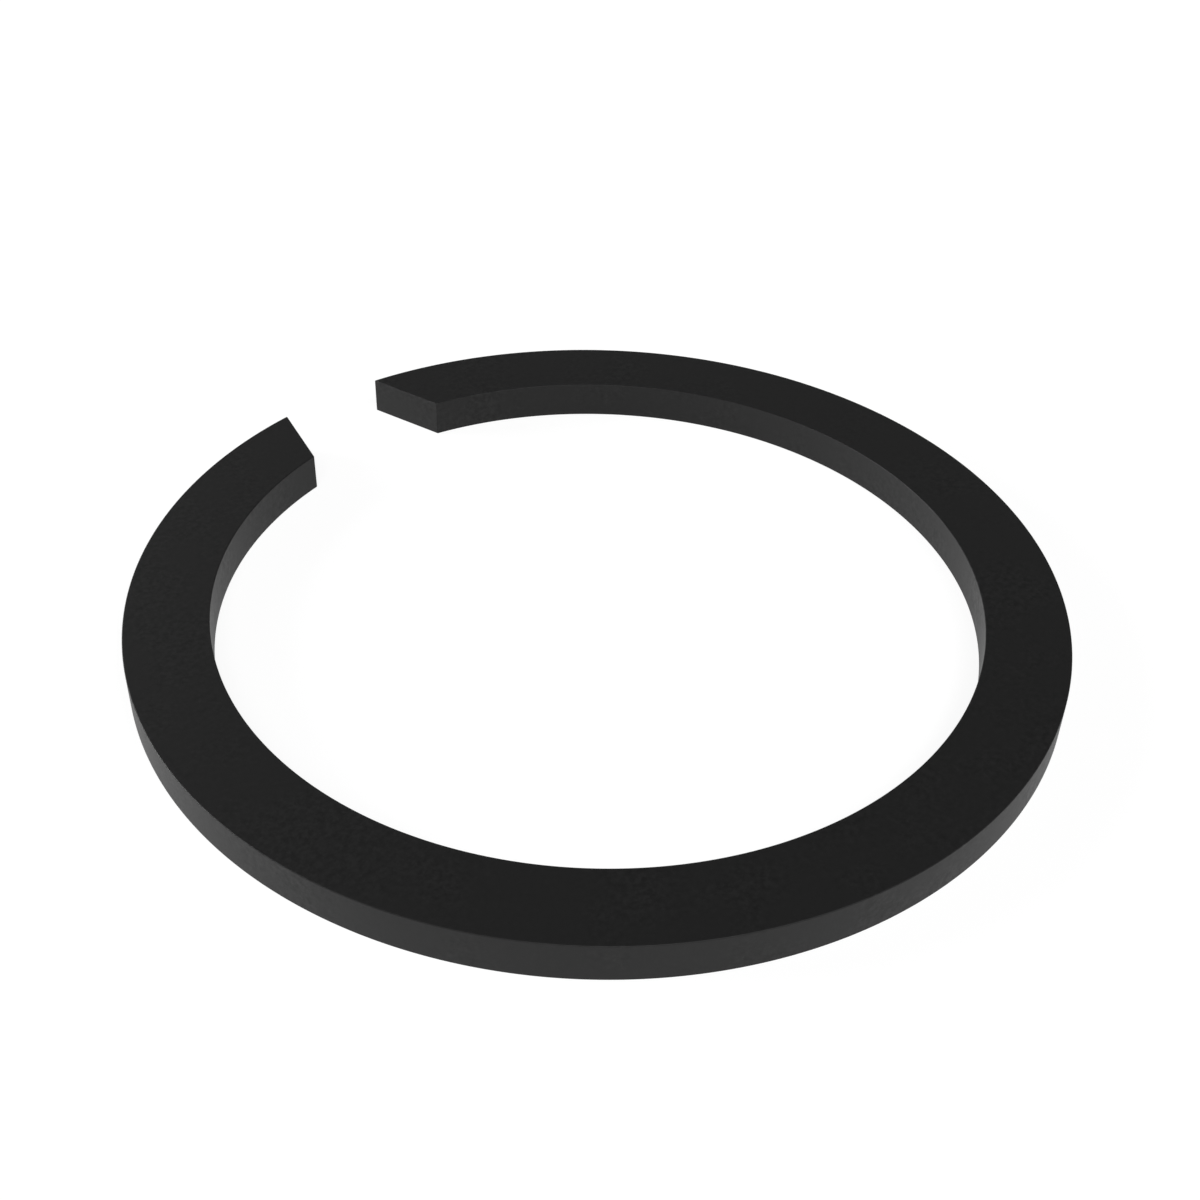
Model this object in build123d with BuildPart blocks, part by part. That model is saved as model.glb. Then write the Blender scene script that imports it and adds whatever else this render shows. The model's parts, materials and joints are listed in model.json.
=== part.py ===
"""External snap ring of constant section, for a groove in a 31.75 mm (1-1/4 in) shaft.

The ring is one piece of hardened spring steel. It is drawn relaxed, as it lies on a bench before
it is spread over the shaft. Its band has the same width and thickness all the way round, and both
ends are bevelled so that the gap is wider at the bore than at the rim, which keeps the tips of the
spreading pliers from slipping out.

Frame: millimetres, ring axis on Z, lower face on Z = 0, middle of the gap towards +Y.
"""

from build123d import *

import os
from math import radians, sqrt, tan

# Driving dimensions, relaxed ring
bore_diameter = 29.36  # a little under the groove, so that the ring grips it
band_width = 3.175  # from bore to rim
thickness = 1.575  # sits in the groove
gap_width = 4.71  # between the two rim corners of the ends
end_bevel = 15.0  # degrees between each end face and the gap's centre line
edge_break = 0.05  # every edge is tumbled, so none is left sharp

# Sizes that follow from them
bore_radius = bore_diameter / 2
rim_radius = bore_radius + band_width

# The cut for the gap starts in the open bore and runs out past the rim
cut_start_y = bore_radius - band_width
cut_end_y = rim_radius + band_width


def gap_half_width(y):
    """Half the gap between the two end faces, at the distance y from the ring's axis."""
    rim_corner_y = sqrt(rim_radius**2 - (gap_width / 2) ** 2)
    return gap_width / 2 + (rim_corner_y - y) * tan(radians(end_bevel))


with BuildPart() as snap_ring:
    with BuildSketch(Plane.XY):
        Circle(rim_radius)
        Circle(bore_radius, mode=Mode.SUBTRACT)
        with Locations((0, cut_start_y)):
            Trapezoid(
                width=2 * gap_half_width(cut_start_y),
                height=cut_end_y - cut_start_y,
                left_side_angle=90 - end_bevel,
                align=(Align.CENTER, Align.MIN),
                mode=Mode.SUBTRACT,
            )
    extrude(amount=thickness)
    chamfer(snap_ring.edges(), length=edge_break)

snap_ring.part.label = "snap_ring"

os.makedirs("parts", exist_ok=True)
export_step(snap_ring.part, "parts/snap_ring.step")
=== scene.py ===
"""Looks of the external snap ring: a flat, split ring of spring steel with a black oxide finish.

The ring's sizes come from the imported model. Everything is in metres, with the ring's axis on Z and
the middle of the gap between its ends towards +Y.
"""

import json
from math import asin, cos, pi, radians, sin

import bmesh
import bpy
from mathutils import Matrix, Vector


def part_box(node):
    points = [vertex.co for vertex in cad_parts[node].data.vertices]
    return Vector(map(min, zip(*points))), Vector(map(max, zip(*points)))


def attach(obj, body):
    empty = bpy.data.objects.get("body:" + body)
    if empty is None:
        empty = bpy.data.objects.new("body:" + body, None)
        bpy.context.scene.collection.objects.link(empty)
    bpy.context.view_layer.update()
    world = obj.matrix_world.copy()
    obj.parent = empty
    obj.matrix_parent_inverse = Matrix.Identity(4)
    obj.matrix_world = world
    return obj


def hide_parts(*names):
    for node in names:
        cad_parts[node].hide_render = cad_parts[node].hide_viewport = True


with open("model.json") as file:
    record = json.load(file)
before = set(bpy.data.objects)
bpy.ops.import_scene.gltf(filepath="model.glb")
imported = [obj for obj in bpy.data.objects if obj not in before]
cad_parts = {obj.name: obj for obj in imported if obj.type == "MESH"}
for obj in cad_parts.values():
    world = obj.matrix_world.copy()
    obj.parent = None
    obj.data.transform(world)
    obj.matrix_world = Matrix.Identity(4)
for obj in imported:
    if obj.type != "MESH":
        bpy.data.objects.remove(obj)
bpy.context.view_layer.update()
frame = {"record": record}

MILLIMETRE = 0.001

# The ring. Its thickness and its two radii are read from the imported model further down.
GAP_WIDTH = 4.71 * MILLIMETRE  # between the two rim corners of the ends
END_BEVEL = radians(15.0)  # between each end face and the gap's centre line
EDGE_RADIUS = 0.04 * MILLIMETRE  # every edge is tumbled
EDGE_SEGMENTS = 4
EDGE_ANGLE = radians(40.0)  # a larger turn between two faces is an edge
STATIONS = 720  # sections round the band

# Black oxide on steel: matt, with a fine grain that is stronger in some patches. Two noises make
# the texture: grain about its mean, and light specks where the second noise is near its peaks.
OXIDE_DARK = 0.0065
OXIDE_LIGHT = 0.0130
OXIDE_ROUGH = 0.54
OXIDE_SMOOTH = 0.47
OXIDE_IOR = 1.30  # a porous oxide reflects less than a closed film
GRAIN_SIZE = 0.22 * MILLIMETRE
GRAIN_DETAIL = 2.0
GRAIN_HARSHNESS = 0.6  # how much of its finest detail shows
GRAIN_MEAN = 0.5
GRAIN_HEIGHT = 0.0012 * MILLIMETRE
SPECK_SIZE = 0.16 * MILLIMETRE
SPECK_DETAIL = 1.0
SPECK_FROM, SPECK_FULL = 0.60, 0.72  # noise values at which a speck starts, and is at its height
SPECK_HEIGHT = 0.2  # of the grain's full range
PATCH_SIZE = 3.4 * MILLIMETRE
PATCH_DETAIL = 2.0
PATCH_FROM, PATCH_FULL = 0.42, 0.62  # noise values between which the grain grows to full strength
PATCH_FAINT = 0.15  # strength of the grain where it is weakest
TEXTURE_REACH = 0.16  # texture value, up or down, at which colour and roughness stop changing

# Camera, aimed at the middle of the ring's box
CAMERA_AZIMUTH = -43.42  # degrees, from the side opposite the gap towards +X
CAMERA_ELEVATION = 38.33  # degrees above the table
CAMERA_ROLL = radians(1.75)
CAMERA_DISTANCE = 64.53 * MILLIMETRE
CAMERA_LENS = 50.0
CAMERA_SENSOR = 36.0
CAMERA_NEAREST = 1 * MILLIMETRE

# Studio: square soft boxes round the ring. Their azimuths are in degrees to the right of the
# camera, and their elevations in degrees above the table.
LAMP_SIZE = 0.25
LAMP_DISTANCE = 0.5
LAMPS = {
    # name: (azimuth, elevation, watts)
    "left_box": (-96.0, 15.0, 2.7),
    "front_box": (0.0, 50.0, 1.1),
    "right_box": (45.0, 50.0, 1.2),
    "rear_left_box": (-135.0, 15.0, 0.35),
}
COVE_TOP = 10.0  # degrees above the table up to which the surroundings are white
COVE_END = 15.5  # degrees above the table from which they are dark
COVE_DARK = 0.02  # their strength there

# Table
TABLE_HALF_SIZE = 3.0
TABLE_CLEARANCE = 0.01 * MILLIMETRE  # so that the two faces never lie in one plane
TABLE_WHITE = 0.9  # as it lights the ring
TABLE_GLOW = 0.87  # as it is seen near the ring, before the light that falls on it is added
TABLE_SHADED = 0.165  # its colour for that light, which takes it to full white but in shadow
# Between these distances from the ring's axis the glow alone rises to full white, so that the
# fall-off of the lamps is not seen
GLOW_NEAR = 50 * MILLIMETRE
GLOW_FAR = 150 * MILLIMETRE


def direction(azimuth, elevation):
    """Unit vector from the ring towards a place, with azimuth 0 at -Y and 90 at +X."""
    a, e = radians(azimuth), radians(elevation)
    return Vector((sin(a) * cos(e), -cos(a) * cos(e), sin(e)))


def mount_radius(name):
    """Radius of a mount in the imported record."""
    mounts = {m["name"]: m for m in frame["record"]["mounts"]}
    return mounts[name]["dims"]["r_mm"] * MILLIMETRE


def link(thing):
    """Puts a new object in the scene."""
    bpy.context.scene.collection.objects.link(thing)
    return thing


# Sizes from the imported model
low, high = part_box("snap_ring")
centre = (low + high) / 2
bore_radius = mount_radius("shaft_groove")
rim_radius = min(high.x, -low.x, -low.y)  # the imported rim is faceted, so its flattest side counts


def half_gap(radius):
    """Angle from the gap's centre line to the straight end of the band, at a radius."""
    rim_angle = asin(GAP_WIDTH / 2 / rim_radius)
    distance_to_end_face = rim_radius * sin(rim_angle + END_BEVEL)
    return asin(distance_to_end_face / radius) - END_BEVEL


def band_sections():
    """The four corners of the band's section at each station, from one end face to the other."""
    corners = [
        (bore_radius, low.z),
        (rim_radius, low.z),
        (rim_radius, high.z),
        (bore_radius, high.z),
    ]
    for station in range(STATIONS + 1):
        section = []
        for radius, z in corners:
            start = half_gap(radius)
            turn = start + 2 * (pi - start) * station / STATIONS
            section.append((radius * sin(turn), radius * cos(turn), z))
        yield section


def ring_mesh():
    """The band as quads between its sections, closed by a flat face at each end."""
    bm = bmesh.new()
    sections = [[bm.verts.new(corner) for corner in section] for section in band_sections()]
    for here, there in zip(sections, sections[1:]):
        for j in range(len(here)):
            k = (j + 1) % len(here)
            bm.faces.new((here[j], here[k], there[k], there[j]))
    bm.faces.new(sections[0])
    bm.faces.new(sections[-1])
    bmesh.ops.recalc_face_normals(bm, faces=bm.faces)
    mesh = bpy.data.meshes.new("oxide_ring")
    bm.to_mesh(mesh)
    bm.free()
    mesh.shade_smooth()
    return mesh


def oxide_ring():
    """The ring, with every edge tumbled round."""
    ring = link(bpy.data.objects.new("oxide_ring", ring_mesh()))
    tumbled = ring.modifiers.new("tumbled_edges", "BEVEL")
    tumbled.limit_method = "ANGLE"
    tumbled.angle_limit = EDGE_ANGLE
    tumbled.width = EDGE_RADIUS
    tumbled.segments = EDGE_SEGMENTS
    tumbled.harden_normals = True
    return ring


class Nodes:
    """Adds nodes to a material's or the world's tree, and links them by value."""

    def __init__(self, owner):
        owner.use_nodes = True
        self.tree = owner.node_tree

    def get(self, name):
        return self.tree.nodes[name]

    def add(self, kind, settings=None, **inputs):
        node = self.tree.nodes.new("ShaderNode" + kind)
        for name, value in (settings or {}).items():
            setattr(node, name, value)
        for name, value in inputs.items():
            self.feed(node, name.replace("_", " "), value)
        return node

    def feed(self, node, name, value):
        """Links an output to the node's input of that name, or sets the input to a number."""
        if isinstance(value, bpy.types.NodeSocket):
            self.tree.links.new(value, node.inputs[name])
        else:
            node.inputs[name].default_value = value

    def math(self, operation, first, second):
        node = self.add("Math", {"operation": operation})
        self.feed(node, 0, first)
        self.feed(node, 1, second)
        return node.outputs[0]

    def noise(self, size, detail, harshness=0.5):
        """Noise from 0 to 1 with features of about that size, fixed to the object."""
        place = self.add("TexCoord").outputs["Object"]
        noise = self.add(
            "TexNoise", Vector=place, Scale=1 / size, Detail=detail, Roughness=harshness
        )
        return noise.outputs["Fac"]

    def spread(self, value, lowest, highest, to_lowest, to_highest):
        """The value's range stretched onto another, and held within it."""
        spread = self.add(
            "MapRange",
            Value=value,
            From_Min=lowest,
            From_Max=highest,
            To_Min=to_lowest,
            To_Max=to_highest,
        )
        return spread.outputs["Result"]


def black_oxide():
    """Matt black oxide. Its grain is stronger in some patches than in others."""
    material = bpy.data.materials.new("black_oxide")
    nodes = Nodes(material)
    grain = nodes.noise(GRAIN_SIZE, GRAIN_DETAIL, GRAIN_HARSHNESS)
    grain = nodes.math("SUBTRACT", grain, GRAIN_MEAN)
    specks = nodes.noise(SPECK_SIZE, SPECK_DETAIL)
    specks = nodes.spread(specks, SPECK_FROM, SPECK_FULL, 0.0, SPECK_HEIGHT)
    patches = nodes.noise(PATCH_SIZE, PATCH_DETAIL)
    patches = nodes.spread(patches, PATCH_FROM, PATCH_FULL, PATCH_FAINT, 1.0)
    texture = nodes.math("MULTIPLY", nodes.math("ADD", grain, specks), patches)

    low_end, high_end = -TEXTURE_REACH, TEXTURE_REACH
    shade = nodes.spread(texture, low_end, high_end, OXIDE_DARK, OXIDE_LIGHT)
    colour = nodes.add("CombineColor", Red=shade, Green=shade, Blue=shade).outputs["Color"]
    roughness = nodes.spread(texture, low_end, high_end, OXIDE_ROUGH, OXIDE_SMOOTH)
    bump = nodes.add("Bump", Height=texture, Distance=GRAIN_HEIGHT)

    shader = nodes.get("Principled BSDF")
    nodes.feed(shader, "Base Color", colour)
    nodes.feed(shader, "Roughness", roughness)
    nodes.feed(shader, "Normal", bump.outputs["Normal"])
    nodes.feed(shader, "IOR", OXIDE_IOR)
    return material


def white_table():
    """White matt table. The camera and the reflections see it white, with the ring's soft shadow."""
    material = bpy.data.materials.new("white_table")
    nodes = Nodes(material)
    rays = nodes.add("LightPath").outputs
    seen = nodes.math("MAXIMUM", rays["Is Camera Ray"], rays["Is Glossy Ray"])
    seen = nodes.math("MAXIMUM", seen, rays["Is Transmission Ray"])
    lit = nodes.add("BsdfDiffuse", Color=nodes.spread(seen, 0.0, 1.0, TABLE_WHITE, TABLE_SHADED))
    place = nodes.add("TexCoord").outputs["Object"]
    distance = nodes.add("VectorMath", {"operation": "LENGTH"}, Vector=place).outputs["Value"]
    level = nodes.spread(distance, GLOW_NEAR, GLOW_FAR, TABLE_GLOW, 1.0)
    glow = nodes.add("Emission", Strength=nodes.math("MULTIPLY", seen, level))
    both = nodes.add("AddShader")
    nodes.feed(both, 0, lit.outputs["BSDF"])
    nodes.feed(both, 1, glow.outputs["Emission"])
    nodes.feed(nodes.get("Material Output"), "Surface", both.outputs["Shader"])
    return material


def add_table():
    """A plane far wider than any view."""
    mesh = bpy.data.meshes.new("table")
    bm = bmesh.new()
    bmesh.ops.create_grid(bm, x_segments=1, y_segments=1, size=TABLE_HALF_SIZE)
    bm.to_mesh(mesh)
    bm.free()
    mesh.materials.append(white_table())
    table = link(bpy.data.objects.new("table", mesh))
    table.location.z = low.z - TABLE_CLEARANCE


def add_surroundings():
    """A white cove round the table that falls off to a dim studio above."""
    world = bpy.data.worlds.new("studio")
    bpy.context.scene.world = world
    nodes = Nodes(world)
    place = nodes.add("TexCoord").outputs["Generated"]
    up = nodes.add("SeparateXYZ", Vector=place).outputs["Z"]
    fall = nodes.spread(up, sin(radians(COVE_TOP)), sin(radians(COVE_END)), 1.0, COVE_DARK)
    background = nodes.get("Background")
    nodes.feed(background, "Color", (1, 1, 1, 1))
    nodes.feed(background, "Strength", fall)


def add_lamps():
    """The soft boxes, each turned to the ring."""
    for name, (azimuth, elevation, watts) in LAMPS.items():
        data = bpy.data.lights.new(name, "AREA")
        data.size = LAMP_SIZE
        data.energy = watts
        lamp = link(bpy.data.objects.new(name, data))
        towards = direction(CAMERA_AZIMUTH + azimuth, elevation)
        lamp.location = centre + towards * LAMP_DISTANCE
        lamp.rotation_euler = towards.to_track_quat("Z", "Y").to_euler()


def add_camera():
    """The camera at the photograph's viewing angle, as the scene's own."""
    data = bpy.data.cameras.new("camera")
    data.lens = CAMERA_LENS
    data.sensor_width = CAMERA_SENSOR
    data.clip_start = CAMERA_NEAREST
    camera = link(bpy.data.objects.new("camera", data))
    back = direction(CAMERA_AZIMUTH, CAMERA_ELEVATION)
    camera.location = centre + back * CAMERA_DISTANCE
    aim = back.to_track_quat("Z", "Y").to_matrix().to_4x4()
    camera.rotation_euler = (aim @ Matrix.Rotation(CAMERA_ROLL, 4, "Z")).to_euler()
    bpy.context.scene.camera = camera


add_camera()
add_table()
add_surroundings()
add_lamps()
bpy.context.scene.view_settings.view_transform = "Standard"

ring = oxide_ring()
ring.data.materials.append(black_oxide())
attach(ring, "root")
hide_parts("snap_ring")
